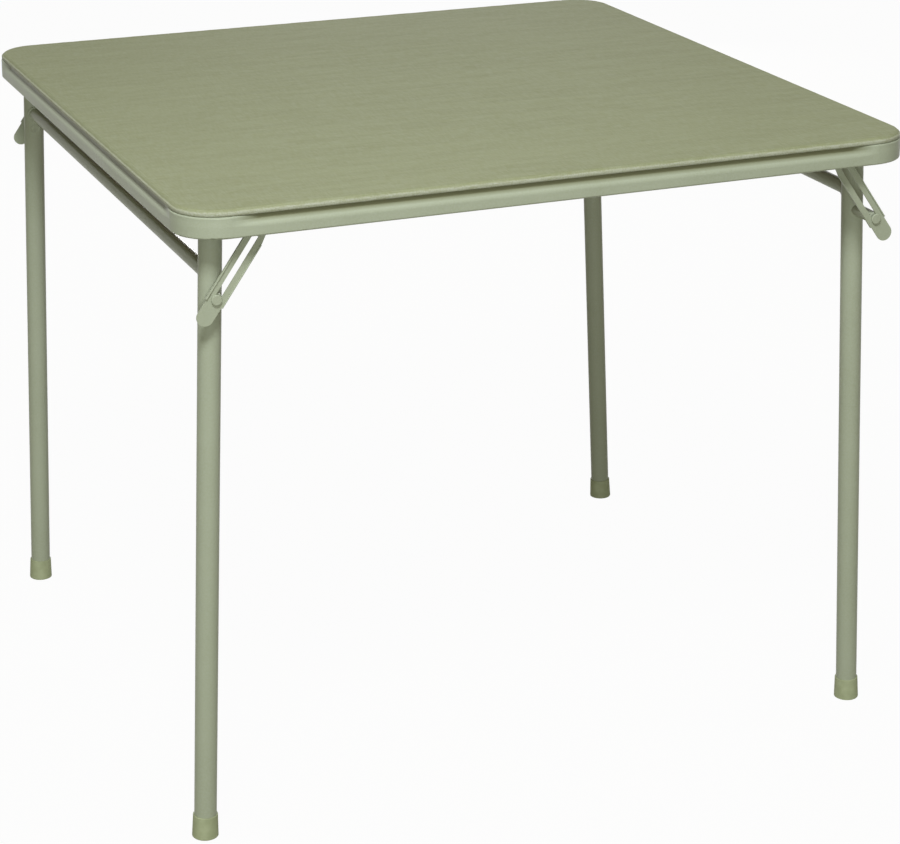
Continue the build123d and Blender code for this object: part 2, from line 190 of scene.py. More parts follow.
def powder_coated_steel():
    """Sage polyester powder coat on steel: low sheen, with the soft orange peel of baked powder."""
    material, tree, shader, place = new_material("powder_coated_steel")
    # Orange peel has cells of about 1 mm, drawn at 2.2 mm so that it shows on rails and tabs
    peel = add_node(
        tree,
        "ShaderNodeTexNoise",
        {"Vector": place, "Scale": 1 / (2.2 * MM), "Detail": 1.5},
    )
    # Slow changes of film thickness, some 70 mm across, shift the tone a little
    film = add_node(
        tree,
        "ShaderNodeTexNoise",
        {"Vector": place, "Scale": 1 / (70 * MM), "Detail": 2},
    )
    tone = add_node(tree, "ShaderNodeValToRGB", {"Fac": film.outputs["Fac"]})
    tone.color_ramp.elements[0].position = 0.3
    tone.color_ramp.elements[0].color = linear("#999F84")
    tone.color_ramp.elements[1].position = 0.7
    tone.color_ramp.elements[1].color = linear("#A1A78D")
    speck = add_node(
        tree,
        "ShaderNodeMix",
        {0: peel.outputs["Fac"], 6: tone.outputs["Color"], 7: linear("#A6AC96")},
        data_type="RGBA",
    )
    # Painted shade: the groove under the cover is darkened towards dark olive
    groove_shaded = add_node(
        tree,
        "ShaderNodeMix",
        {0: groove_shade_share(tree, place), 6: speck.outputs[2], 7: linear("#6A6A49")},
        data_type="RGBA",
    )
    tree.links.new(groove_shaded.outputs[2], shader.inputs["Base Color"])
    rough = add_node(
        tree,
        "ShaderNodeMapRange",
        {
            "Value": film.outputs["Fac"],
            "From Min": 0.3,
            "From Max": 0.7,
            "To Min": 0.27,
            "To Max": 0.34,
        },
    )
    tree.links.new(rough.outputs["Result"], shader.inputs["Roughness"])
    bump = add_node(
        tree,
        "ShaderNodeBump",
        {"Height": peel.outputs["Fac"], "Strength": 0.18, "Distance": 0.25 * MM},
    )
    tree.links.new(bump.outputs["Normal"], shader.inputs["Normal"])
    shader.inputs["IOR"].default_value = 1.5
    shader.inputs["Specular IOR Level"].default_value = 0.1
    return material


def embossed_vinyl():
    """Soft vinyl with a fine linen emboss: threads pressed in along and across, low sheen."""
    material, tree, shader, place = new_material("embossed_vinyl")
    # Threads are about 0.6 mm apart, drawn at 1.6 mm by 14 mm long so that they show
    fine = 1 / (1.6 * MM)
    long = 1 / (14 * MM)
    along = add_node(
        tree,
        "ShaderNodeMapping",
        {"Vector": place, "Scale": (long, fine, fine)},
    )
    across = add_node(
        tree,
        "ShaderNodeMapping",
        {"Vector": place, "Scale": (fine, long, fine)},
    )
    weft = add_node(
        tree,
        "ShaderNodeTexNoise",
        {"Vector": along.outputs["Vector"], "Scale": 1, "Detail": 2},
    )
    warp = add_node(
        tree,
        "ShaderNodeTexNoise",
        {"Vector": across.outputs["Vector"], "Scale": 1, "Detail": 2},
    )
    weave = add_node(
        tree,
        "ShaderNodeMath",
        {0: weft.outputs["Fac"], 1: warp.outputs["Fac"]},
        operation="MULTIPLY",
    )
    # Streaks of the print, some 80 mm long and 12 mm wide, that run the way of the front edge
    drawn = add_node(
        tree,
        "ShaderNodeMapping",
        {"Vector": place, "Scale": (1 / (80 * MM), 1 / (12 * MM), 1 / (12 * MM))},
    )
    cloud = add_node(
        tree,
        "ShaderNodeTexNoise",
        {"Vector": drawn.outputs["Vector"], "Scale": 1, "Detail": 4},
    )
    tone = add_node(tree, "ShaderNodeValToRGB", {"Fac": cloud.outputs["Fac"]})
    tone.color_ramp.elements[0].position = 0.32
    tone.color_ramp.elements[0].color = linear("#81855E")
    tone.color_ramp.elements[1].position = 0.68
    tone.color_ramp.elements[1].color = linear("#898D67")
    thread = add_node(
        tree,
        "ShaderNodeMapRange",
        {"Value": weave.outputs["Value"], "From Min": 0.12, "From Max": 0.4, "To Max": 0.42},
    )
    printed = add_node(
        tree,
        "ShaderNodeMix",
        {0: thread.outputs["Result"], 6: tone.outputs["Color"], 7: linear("#9CA089")},
        data_type="RGBA",
    )
    # Painted highlight: the drawn edge is made paler, most on the threads that stand proud, in
    # bright dashes
    axes = add_node(tree, "ShaderNodeSeparateXYZ", {"Vector": place})
    edge = add_node(
        tree,
        "ShaderNodeMapRange",
        {"Value": axes.outputs["Z"], "From Min": LIP_HIGHLIGHT_TOP, "From Max": LIP_HIGHLIGHT_TOP - LIP_HIGHLIGHT_DROP},
    )
    highlight_dashes = add_node(
        tree,
        "ShaderNodeMapRange",
        {
            "Value": weave.outputs["Value"],
            "From Min": 0.15,
            "From Max": 0.35,
            "To Min": 0.4,
            "To Max": 0.95,
        },
    )
    lip_highlight = add_node(
        tree,
        "ShaderNodeMath",
        {0: edge.outputs["Result"], 1: highlight_dashes.outputs["Result"]},
        operation="MULTIPLY",
    )
    lip_highlighted = add_node(
        tree,
        "ShaderNodeMix",
        {0: lip_highlight.outputs["Value"], 6: printed.outputs[2], 7: linear("#ADB09B")},
        data_type="RGBA",
    )
    tree.links.new(lip_highlighted.outputs[2], shader.inputs["Base Color"])
    bump = add_node(
        tree,
        "ShaderNodeBump",
        {"Height": weave.outputs["Value"], "Strength": 0.5, "Distance": 0.35 * MM},
    )
    tree.links.new(bump.outputs["Normal"], shader.inputs["Normal"])
    shader.inputs["Roughness"].default_value = 0.62
    shader.inputs["IOR"].default_value = 1.45
    shader.inputs["Specular IOR Level"].default_value = 0.32
    return material


def open_cell_foam():
    """Cream polyurethane foam: matt, full of small open cells."""
    material, tree, shader, place = new_material("open_cell_foam")
    # Cells of about 1.5 mm
    cells = add_node(tree, "ShaderNodeTexVoronoi", {"Vector": place, "Scale": 1 / (1.5 * MM)})
    tone = add_node(tree, "ShaderNodeValToRGB", {"Fac": cells.outputs["Distance"]})
    tone.color_ramp.elements[0].color = linear("#CFC6A4")
    tone.color_ramp.elements[1].color = linear("#E6DFC3")
    tree.links.new(tone.outputs["Color"], shader.inputs["Base Color"])
    bump = add_node(
        tree,
        "ShaderNodeBump",
        {"Height": cells.outputs["Distance"], "Strength": 0.6, "Distance": 0.5 * MM},
    )
    tree.links.new(bump.outputs["Normal"], shader.inputs["Normal"])
    shader.inputs["Roughness"].default_value = 0.95
    return material


def tempered_hardboard():
    """Tempered hardboard: pressed brown fibre, smooth with a faint glaze."""
    material, tree, shader, place = new_material("tempered_hardboard")
    # Fibre flecks about 3 mm long, over cloudy patches of 60 mm
    fleck = add_node(
        tree,
        "ShaderNodeTexNoise",
        {"Vector": place, "Scale": 1 / (3 * MM), "Detail": 4},
    )
    patch = add_node(
        tree,
        "ShaderNodeTexNoise",
        {"Vector": place, "Scale": 1 / (60 * MM), "Detail": 3},
    )
    tone = add_node(tree, "ShaderNodeValToRGB", {"Fac": patch.outputs["Fac"]})
    tone.color_ramp.elements[0].position = 0.35
    tone.color_ramp.elements[0].color = linear("#6B4C33")
    tone.color_ramp.elements[1].position = 0.65
    tone.color_ramp.elements[1].color = linear("#7D5B3E")
    fibre = add_node(
        tree,
        "ShaderNodeMapRange",
        {"Value": fleck.outputs["Fac"], "From Min": 0.45, "From Max": 0.7, "To Max": 0.6},
    )
    flecked = add_node(
        tree,
        "ShaderNodeMix",
        {0: fibre.outputs["Result"], 6: tone.outputs["Color"], 7: linear("#5A3E29")},
        data_type="RGBA",
    )
    tree.links.new(flecked.outputs[2], shader.inputs["Base Color"])
    bump = add_node(
        tree,
        "ShaderNodeBump",
        {"Height": fleck.outputs["Fac"], "Strength": 0.2, "Distance": 0.15 * MM},
    )
    tree.links.new(bump.outputs["Normal"], shader.inputs["Normal"])
    shader.inputs["Roughness"].default_value = 0.6
    return material


def moulded_rubber():
    """Thermoplastic rubber of the caps: matt, with a fine moulded grain."""
    material, tree, shader, place = new_material("moulded_rubber")
    # Mould grain of about 0.8 mm, and cloudy scuffs some 12 mm across
    grain = add_node(
        tree,
        "ShaderNodeTexNoise",
        {"Vector": place, "Scale": 1 / (0.8 * MM), "Detail": 2},
    )
    scuff = add_node(
        tree,
        "ShaderNodeTexNoise",
        {"Vector": place, "Scale": 1 / (12 * MM), "Detail": 3},
    )
    tone = add_node(tree, "ShaderNodeValToRGB", {"Fac": scuff.outputs["Fac"]})
    tone.color_ramp.elements[0].position = 0.35
    tone.color_ramp.elements[0].color = linear("#949B76")
    tone.color_ramp.elements[1].position = 0.7
    tone.color_ramp.elements[1].color = linear("#A3AA85")
    tree.links.new(tone.outputs["Color"], shader.inputs["Base Color"])
    bump = add_node(
        tree,
        "ShaderNodeBump",
        {"Height": grain.outputs["Fac"], "Strength": 0.25, "Distance": 0.15 * MM},
    )
    tree.links.new(bump.outputs["Normal"], shader.inputs["Normal"])
    shader.inputs["Roughness"].default_value = 0.68
    return material


def zinc_plate():
    """Bright zinc on small steel parts: grey metal, slightly clouded."""
    material, tree, shader, place = new_material("zinc_plate")
    # Clouding some 4 mm across
    cloud = add_node(
        tree,
        "ShaderNodeTexNoise",
        {"Vector": place, "Scale": 1 / (4 * MM), "Detail": 3},
    )
    tone = add_node(tree, "ShaderNodeValToRGB", {"Fac": cloud.outputs["Fac"]})
    tone.color_ramp.elements[0].color = linear("#A9AAA6")
    tone.color_ramp.elements[1].color = linear("#C9CAC6")
    tree.links.new(tone.outputs["Color"], shader.inputs["Base Color"])
    rough = add_node(
        tree,
        "ShaderNodeMapRange",
        {"Value": cloud.outputs["Fac"], "To Min": 0.22, "To Max": 0.42},
    )
    tree.links.new(rough.outputs["Result"], shader.inputs["Roughness"])
    shader.inputs["Metallic"].default_value = 1.0
    return material


PAINT = powder_coated_steel()
VINYL = embossed_vinyl()
FOAM = open_cell_foam()
HARDBOARD = tempered_hardboard()
RUBBER = moulded_rubber()
ZINC = zinc_plate()

# The record's slots and the finishes that dress them
FINISHES = {
    "vinyl": VINYL,
    "foam": FOAM,
    "hardboard": HARDBOARD,
    "painted_steel": PAINT,
    "rubber_caps": RUBBER,
    "zinc_screws": ZINC,
}
for part in frame["record"]["subparts"]:
    solid = frame["nodes"][part["node"]]
    solid.data.materials.clear()
    solid.data.materials.append(FINISHES[part["material_slot"]])

# A face whose normal reaches this share of a direction counts as facing it
FACING = 0.9


def deselect_all():
    """Nothing selected and no edit mode, before a new primitive."""
    if bpy.context.object and bpy.context.object.mode != "OBJECT":
        bpy.ops.object.mode_set(mode="OBJECT")
    bpy.ops.object.select_all(action="DESELECT")


def active_only(piece):
    """One piece selected and active."""
    deselect_all()
    piece.select_set(True)
    bpy.context.view_layer.objects.active = piece


def apply_place(piece):
    """Puts a piece's place, turn and scale into its mesh."""
    active_only(piece)
    bpy.ops.object.transform_apply(location=True, rotation=True, scale=True)


def copy_of(piece):
    """A copy of a piece with a mesh of its own."""
    copy = piece.copy()
    copy.data = piece.data.copy()
    bpy.context.scene.collection.objects.link(copy)
    return copy


def box(size, centre=(0, 0, 0)):
    """A plain box to be shaped further."""
    deselect_all()
    bpy.ops.mesh.primitive_cube_add(size=1, location=centre)
    piece = bpy.context.object
    piece.scale = size
    apply_place(piece)
    return piece


def join(pieces):
    """Several meshes made one piece."""
    deselect_all()
    for piece in pieces:
        piece.select_set(True)
    bpy.context.view_layer.objects.active = pieces[0]
    bpy.ops.object.join()
    return bpy.context.object


def settle(piece, name, material, body, smooth=35):
    """Puts a piece's place into its mesh, and gives it its name, finish and body."""
    apply_place(piece)
    bpy.ops.object.shade_smooth_by_angle(angle=radians(smooth))
    piece.name = name
    piece.data.name = name
    piece.data.materials.clear()
    piece.data.materials.append(material)
    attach(piece, body)


def select_everything(piece):
    """Goes to edit mode with all of a piece selected."""
    active_only(piece)
    bpy.ops.object.mode_set(mode="EDIT")
    bpy.ops.mesh.select_all(action="SELECT")


def select_faces(piece, wanted):
    """Selects the faces for which wanted(face) holds, and goes to edit mode on them."""
    active_only(piece)
    bpy.ops.object.mode_set(mode="EDIT")
    bpy.ops.mesh.select_mode(type="FACE")
    bpy.ops.mesh.select_all(action="DESELECT")
    bpy.ops.object.mode_set(mode="OBJECT")
    for face in piece.data.polygons:
        face.select = wanted(face)
    bpy.ops.object.mode_set(mode="EDIT")


def apply_modifier(piece, kind, **settings):
    """Adds a modifier, sets it and applies it."""
    active_only(piece)
    modifier = piece.modifiers.new(kind.lower(), kind)
    for key, value in settings.items():
        setattr(modifier, key, value)
    bpy.ops.object.modifier_apply(modifier=modifier.name)


# Padded top: the flat field of the cover, then rings over the edge and under the board.
# Each ring is (inset from the cover's outline, height from its top), in millimetres.
FIELD_INSET = 8.4
FIELD_CELLS = 150
EDGE_RINGS = [
    (7.6, 0.0), (7.1, -0.04), (6.7, -0.18), (6.3, -0.06), (5.9, 0.12), (5.4, 0.14),
    (4.9, 0.02), (4.3, -0.14), (3.7, -0.34), (3.1, -0.66), (2.55, -1.1), (2.05, -1.65),
    (1.65, -2.2), (1.3, -2.6), (0.8, -2.75), (0.3, -2.9), (0.0, -3.3), (0.0, -4.1),
    (0.0, -4.9), (0.1, -5.7), (0.35, -6.4), (0.8, -7.0), (1.5, -7.35), (3.0, -7.5),
    (10.0, -7.5), (17.0, -7.5), (23.5, -7.5), (25.5, -7.5), (27.5, -7.5), (30.0, -7.5),
    (33.0, -7.5), (36.0, -7.5),
]
VINYL_THICKNESS = 0.9 * MM
CORNER_CENTRE = COVER_HALF - COVER_CORNER

# The crease along the edge, as insets in millimetres, and its unevenness in height and across
CREASE_REACH = 11
CREASE_DROP = 4 * MM
CREASE_INSET = 5.6
CREASE_HALF_WIDTH = 3.4
CREASE_RIPPLE = 0.22 * MM
CREASE_SWAY = 0.35 * MM

# Pleats of the turned-under hem at the corners, as insets in millimetres, and their depths
PLEAT_START = 24.5
PLEAT_RUN = 5
PLEATS_PER_TURN = 8
PLEAT_PAST_CORNER = 12 * MM
PLEAT_DEPTH = 0.7
HEM_UNEVENNESS = 0.12
HEM_BAND = 0.2 * MM

# Waves of unevenness to a metre
RIPPLE_RATE = 75
SWAY_RATE = 40
HEM_RATE = 60

# Cloth simulation of the field
FREE_MARGIN = 0.5
HELD_DROP = 0.5 * MM
HELD_CORNER = 6 * MM
FOAM_PRESSURE = 2.5
VINYL_STIFFNESS = 60
CLOTH_QUALITY = 4
CLOTH_STEPS = 12
LIFT_CAP = 1.2 * MM


def sign(value):
    """The side of nought on which a value lies."""
    return 1 if value > 0 else -1


def corner_round(x, y):
    """Moves a point of the square grid onto rings that stay parallel to the rounded outline."""
    over_x = abs(x) - CORNER_CENTRE
    over_y = abs(y) - CORNER_CENTRE
    if over_x <= 0 or over_y <= 0:
        return x, y
    pull = max(over_x, over_y) / sqrt(over_x**2 + over_y**2)
    return (CORNER_CENTRE + over_x * pull) * sign(x), (CORNER_CENTRE + over_y * pull) * sign(y)


def outward(x, y):
    """The direction across the rounded outline at a point beside it."""
    over_x = max(abs(x) - CORNER_CENTRE, 0) * sign(x)
    over_y = max(abs(y) - CORNER_CENTRE, 0) * sign(y)
    if over_x and over_y:
        return Vector((over_x, over_y, 0)).normalized()
    if abs(x) > abs(y):
        return Vector((sign(x), 0, 0))
    return Vector((0, sign(y), 0))


def edge_inset(x, y):
    """How far in from the cover's rounded outline a point lies."""
    over_x = abs(x) - CORNER_CENTRE
    over_y = abs(y) - CORNER_CENTRE
    if over_x > 0 and over_y > 0:
        return COVER_CORNER - sqrt(over_x**2 + over_y**2)
    return COVER_HALF - max(abs(x), abs(y))


def roll_edge(cover):
    """Extrudes the field's border ring by ring over the edge and under the board."""
    mesh = cover.data
    border = FIELD_INSET
    for inset, rise in EDGE_RINGS:
        bpy.ops.object.mode_set(mode="EDIT")
        bpy.ops.mesh.extrude_region_move()
        bpy.ops.object.mode_set(mode="OBJECT")
        step = (border - inset) * MM
        for vertex in mesh.vertices:
            if vertex.select:
                vertex.co += outward(vertex.co.x, vertex.co.y) * step
                vertex.co.z = COVER_TOP + rise * MM
        border = inset


def pull_in_puckers(cover):
    """The small unevenness of stretched vinyl: along the crease and in the corners' pleats."""
    pleat_line = CORNER_CENTRE - PLEAT_PAST_CORNER
    for vertex in cover.data.vertices:
        x, y, z = vertex.co
        way = outward(x, y)
        inset = edge_inset(x, y) / MM
        if z > COVER_TOP - CREASE_DROP and inset < CREASE_REACH:
            crease = max(0, 1 - abs(inset - CREASE_INSET) / CREASE_HALF_WIDTH)
            ripple = noise.noise(Vector((x * RIPPLE_RATE, y * RIPPLE_RATE, 0)))
            sway = noise.noise(Vector((x * SWAY_RATE, y * SWAY_RATE, 3)))
            vertex.co.z += CREASE_RIPPLE * crease * ripple
            vertex.co += way * (CREASE_SWAY * crease * sway)
        if z < COVER_BOTTOM + HEM_BAND and inset > PLEAT_START:
            angle = atan2(abs(y) - CORNER_CENTRE, abs(x) - CORNER_CENTRE)
            at_corner = 1 if abs(x) > pleat_line and abs(y) > pleat_line else 0
            depth = min(1, (inset - PLEAT_START) / PLEAT_RUN)
            pleat = abs(sin(PLEATS_PER_TURN * angle)) * at_corner
            uneven = abs(noise.noise(Vector((x * HEM_RATE, y * HEM_RATE, 9))))
            vertex.co.z -= depth * MM * (PLEAT_DEPTH * pleat + HEM_UNEVENNESS * uneven)


def held_at_edge(place):
    """Whether the vinyl is held at a point: over the edge, by the border or in a corner."""
    free_reach = COVER_HALF - (FIELD_INSET + FREE_MARGIN) * MM
    corner_reach = 2 * COVER_HALF - COVER_CORNER - HELD_CORNER
    reach = max(abs(place.x), abs(place.y))
    diagonal = abs(place.x) + abs(place.y)
    return place.z < COVER_TOP - HELD_DROP or reach > free_reach or diagonal > corner_reach


def draw_tight(cover):
    """Cloth simulation of the field: foam pressing up under vinyl that is held at its edge."""
    vertices = cover.data.vertices
    rest = [vertex.co.copy() for vertex in vertices]
    held = cover.vertex_groups.new(name="held")
    held.add([vertex.index for vertex in vertices if held_at_edge(vertex.co)], 1.0, "REPLACE")
    cloth = cover.modifiers.new("tension", "CLOTH")
    cloth.settings.vertex_group_mass = "held"
    cloth.settings.use_pressure = True
    cloth.settings.uniform_pressure_force = FOAM_PRESSURE
    cloth.settings.effector_weights.gravity = 0
    cloth.settings.tension_stiffness = VINYL_STIFFNESS
    cloth.settings.compression_stiffness = VINYL_STIFFNESS
    cloth.settings.quality = CLOTH_QUALITY
    for step in range(1, CLOTH_STEPS + 1):
        bpy.context.scene.frame_set(step)
    active_only(cover)
    bpy.ops.object.modifier_apply(modifier="tension")
    bpy.context.scene.frame_set(1)
    highest = max(vertex.co.z - start.z for vertex, start in zip(cover.data.vertices, rest))
    share = LIFT_CAP / highest if highest > LIFT_CAP else 1
    for vertex, start in zip(cover.data.vertices, rest):
        vertex.co = start + (vertex.co - start) * share
    cover.vertex_groups.clear()


def padded_top():
    """Vinyl drawn over foam and board: fine grid, rounded corners, rolled edge and turned hem."""
    deselect_all()
    bpy.ops.mesh.primitive_grid_add(
        x_subdivisions=FIELD_CELLS,
        y_subdivisions=FIELD_CELLS,
        size=2 * (COVER_HALF - FIELD_INSET * MM),
        location=(0, 0, COVER_TOP),
    )
    cover = bpy.context.object
    apply_place(cover)
    for vertex in cover.data.vertices:
        vertex.co.x, vertex.co.y = corner_round(vertex.co.x, vertex.co.y)
    select_everything(cover)
    bpy.ops.mesh.region_to_loop()
    bpy.ops.object.mode_set(mode="OBJECT")
    roll_edge(cover)
    pull_in_puckers(cover)
    draw_tight(cover)
    select_everything(cover)
    bpy.ops.mesh.normals_make_consistent(inside=False)
    bpy.ops.object.mode_set(mode="OBJECT")
    apply_modifier(
        cover, "SOLIDIFY", thickness=VINYL_THICKNESS, offset=-1, use_even_offset=True
    )
    settle(cover, "drawn_vinyl_cover", VINYL, "table_top", smooth=60)
    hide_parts("vinyl_cover")


# The foam's edge lies this far in from the cover's outline. Its shoulder is pressed round, and
# each pair is (inset from the foam's own edge, drop of its upper face), in millimetres.
FOAM_INSET = 2.6 * MM
FOAM_SHOULDER = [(0.0, 1.4), (0.5, 0.9), (1.5, 0.3), (2.9, 0.0)]
FOAM_CORNER_CUTS = 12
UPRIGHT = 1 * MM
FACE_BAND = 0.1 * MM


def foam_slab():
    """The foam under the vinyl, with its upper edge pressed round."""
    low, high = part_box("foam_pad")
    width = 2 * (COVER_HALF - FOAM_INSET)
    slab = box((width, width, high[2] - low[2]), (0, 0, (low[2] + high[2]) / 2))
    bpy.ops.object.mode_set(mode="EDIT")
    bpy.ops.mesh.select_mode(type="EDGE")
    bpy.ops.mesh.select_all(action="DESELECT")
    bpy.ops.object.mode_set(mode="OBJECT")
    for edge in slab.data.edges:
        a, b = (slab.data.vertices[i].co for i in edge.vertices)
        edge.select = abs(a.z - b.z) > UPRIGHT
    bpy.ops.object.mode_set(mode="EDIT")
    bpy.ops.mesh.bevel(
        offset=COVER_CORNER - FOAM_INSET, segments=FOAM_CORNER_CUTS, affect="EDGES"
    )
    bpy.ops.object.mode_set(mode="OBJECT")
    select_faces(slab, lambda face: face.normal.z > FACING)
    for (near, _), (far, _) in zip(FOAM_SHOULDER, FOAM_SHOULDER[1:]):
        bpy.ops.mesh.inset(thickness=(far - near) * MM)
    bpy.ops.object.mode_set(mode="OBJECT")
    for vertex in slab.data.vertices:
        if vertex.co.z > high[2] - FACE_BAND:
            inset = (edge_inset(vertex.co.x, vertex.co.y) - FOAM_INSET) / MM
            nearest = min(FOAM_SHOULDER, key=lambda ring: abs(ring[0] - inset))
            vertex.co.z -= nearest[1] * MM
    settle(slab, "foam_slab", FOAM, "table_top", smooth=50)
    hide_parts("foam_pad")


# Staples: the crown's length, width and wire, and how its shoulders bend up
STAPLE_CROWN = 11 * MM
STAPLE_WIDTH = 1.3 * MM
STAPLE_WIRE = 0.45 * MM
STAPLE_EDGE = 0.14 * MM
STAPLE_FLAT = 4.6 * MM
STAPLE_BEND_RUN = 0.9 * MM
STAPLE_BEND_RISE = 0.35 * MM
STAPLE_SINK = 0.15 * MM
# Their row: inset from the cover's outline, spacing, count on each side of the middle, and how
# unevenly they were shot
STAPLE_INSET = 31.5 * MM
STAPLE_SPACING = 52 * MM
STAPLES_PER_HALF = 7
STAPLE_WOBBLE = 1.2 * MM
STAPLE_LEAN = radians(4)


def staple():
    """One staple: a flat wire crown with its two shoulders bent up into the board."""
    wire = box((STAPLE_CROWN, STAPLE_WIDTH, STAPLE_WIRE))
    select_everything(wire)
    bpy.ops.mesh.bevel(offset=STAPLE_EDGE, segments=1, affect="EDGES")
    bpy.ops.object.mode_set(mode="OBJECT")
    for vertex in wire.data.vertices:
        bend = max(0, abs(vertex.co.x) - STAPLE_FLAT) / STAPLE_BEND_RUN
        vertex.co.z += STAPLE_BEND_RISE * bend
    return wire


def cover_staples():
    """Staples that hold the turned-under vinyl to the board, in a row along each edge."""
    first = staple()
    line = COVER_HALF - STAPLE_INSET
    height = COVER_BOTTOM - STAPLE_WIRE / 2 - STAPLE_SINK
    places = []
    for k in range(-STAPLES_PER_HALF, STAPLES_PER_HALF + 1):
        at = k * STAPLE_SPACING
        wobble = STAPLE_WOBBLE * noise.noise(Vector((k * 1.7, 0.3, 0.0)))
        lean = STAPLE_LEAN * noise.noise(Vector((k * 2.3, 5.1, 0.0)))
        places += [
            (at, -line + wobble, lean),
            (at, line - wobble, pi + lean),
            (-line + wobble, at, pi / 2 - lean),
            (line - wobble, at, -pi / 2 + lean),
        ]
    copies = []
    for x, y, turn in places:
        copy = copy_of(first)
        copy.rotation_euler = (0, 0, turn)
        copy.location = (x, y, height)
        apply_place(copy)
        copies.append(copy)
    bpy.data.objects.remove(first)
    settle(join(copies), "cover_staples", ZINC, "table_top")


# Pan head screws, their cross recess, and the lines and offsets on which they stand
SCREW_HEAD_RADIUS = 3.4 * MM
SCREW_HEAD_HEIGHT = 2.2 * MM
SCREW_HEAD_ROUND = 1.1 * MM
SCREW_RADIUS = 1.7 * MM
SCREW_TIP = 733 * MM
SCREW_TIP_RIM = 0.5 * MM
SCREW_TIP_SINK = 0.3 * MM
RECESS_SIZE = (3.5 * MM, 0.75 * MM, 2.2 * MM)
RECESS_TAPER = 0.5
SCREW_TURN_STEP = 0.7
SCREW_LINE = 417 * MM
BRACE_PIVOT_X = 344.51 * MM
RAIL_SCREW = 130 * MM
GUSSET_SCREW_OFFSET = 20 * MM


def pan_head_screw():
    """The head of one pan head screw, face down at the origin, with its cross recess."""
    deselect_all()
    bpy.ops.mesh.primitive_cylinder_add(
        vertices=28,
        radius=SCREW_HEAD_RADIUS,
        depth=SCREW_HEAD_HEIGHT,
        location=(0, 0, -SCREW_HEAD_HEIGHT / 2),
    )
    head = bpy.context.object
    apply_place(head)
    select_faces(head, lambda face: face.normal.z < -FACING)
    bpy.ops.mesh.bevel(offset=SCREW_HEAD_ROUND, segments=4, affect="EDGES")
    bpy.ops.object.mode_set(mode="OBJECT")
    for turn in (0, pi / 2):
        deselect_all()
        bpy.ops.mesh.primitive_cube_add(size=1, location=(0, 0, -SCREW_HEAD_HEIGHT))
        slot = bpy.context.object
        slot.scale = RECESS_SIZE
        slot.rotation_euler = (0, 0, turn)
        apply_place(slot)
        for vertex in slot.data.vertices:
            if vertex.co.z > -SCREW_HEAD_HEIGHT:
                vertex.co.x *= RECESS_TAPER
                vertex.co.y *= RECESS_TAPER
        apply_modifier(head, "BOOLEAN", operation="DIFFERENCE", object=slot)
        bpy.data.objects.remove(slot)
    return head


def screw_shank(seat):
    """The plain shank from the head's seat into the board, with a sunk end."""
    deselect_all()
    length = SCREW_TIP - seat
    bpy.ops.mesh.primitive_cylinder_add(
        vertices=16,
        radius=SCREW_RADIUS,
        depth=length,
        end_fill_type="NGON",
        location=(0, 0, length / 2),
    )
    shank = bpy.context.object
    apply_place(shank)
    select_faces(shank, lambda face: face.normal.z > FACING)
    bpy.ops.mesh.inset(thickness=SCREW_TIP_RIM)
    bpy.ops.mesh.extrude_region_move(TRANSFORM_OT_translate={"value": (0, 0, -SCREW_TIP_SINK)})
    bpy.ops.object.mode_set(mode="OBJECT")
    return shank


def screw_seats():
    """Where the screws sit: three at each corner's plates and two along each rail's flange."""
    seats = []
    for side, sx in SIDES.items():
        for sy in ENDS.values():
            beside_leg = sy * (PAIR_Y[side] - GUSSET_SCREW_OFFSET)
            seats.append((sx * PIVOT_X, sy * SCREW_LINE, GUSSET_BOTTOM))
            seats.append((sx * SCREW_LINE, beside_leg, GUSSET_BOTTOM))
            seats.append((sx * BRACE_PIVOT_X, sy * SCREW_LINE, GUSSET_BOTTOM))
    for along in (-RAIL_SCREW, RAIL_SCREW):
        for edge in (-SCREW_LINE, SCREW_LINE):
            seats.append((along, edge, FLANGE_BOTTOM))
            seats.append((edge, along, FLANGE_BOTTOM))
    return seats


def panel_screw_set():
    """All the screws that hold the panel down, each turned differently."""
    seats = screw_seats()
    head = pan_head_screw()
    pieces = []
    for count, seat in enumerate(seats):
        shank = screw_shank(seat[2])
        for piece in (copy_of(head), shank):
            piece.rotation_euler = (0, 0, SCREW_TURN_STEP * count)
            piece.location = seat
            apply_place(piece)
            pieces.append(piece)
    bpy.data.objects.remove(head)
    screws = join(pieces)
    settle(screws, "cross_recess_screws", ZINC, "table_top", smooth=30)
    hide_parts("panel_screws")


def leg_point(sx, sy, side, drop):
    """A point on a leg's axis, a height below its pivot."""
    out = PIVOT_X + drop * sin(LEG_SPLAY) / cos(LEG_SPLAY)
    return Vector((sx * out, sy * PAIR_Y[side], PIVOT_Z - drop))


# Weld beads at the crossbars' ends: ring and bead sizes, ripples round the ring, unevenness
BEAD_STANDOFF = 0.5 * MM
BEAD_RADIUS = 1.9 * MM
BEAD_RIPPLES = 22
BEAD_RIPPLE = 0.16
BEAD_UNEVENNESS = 0.3
NOISE_REACH = 3
# The share of the tube's radius up to which a bead follows its round
TUBE_SHARE = 0.98


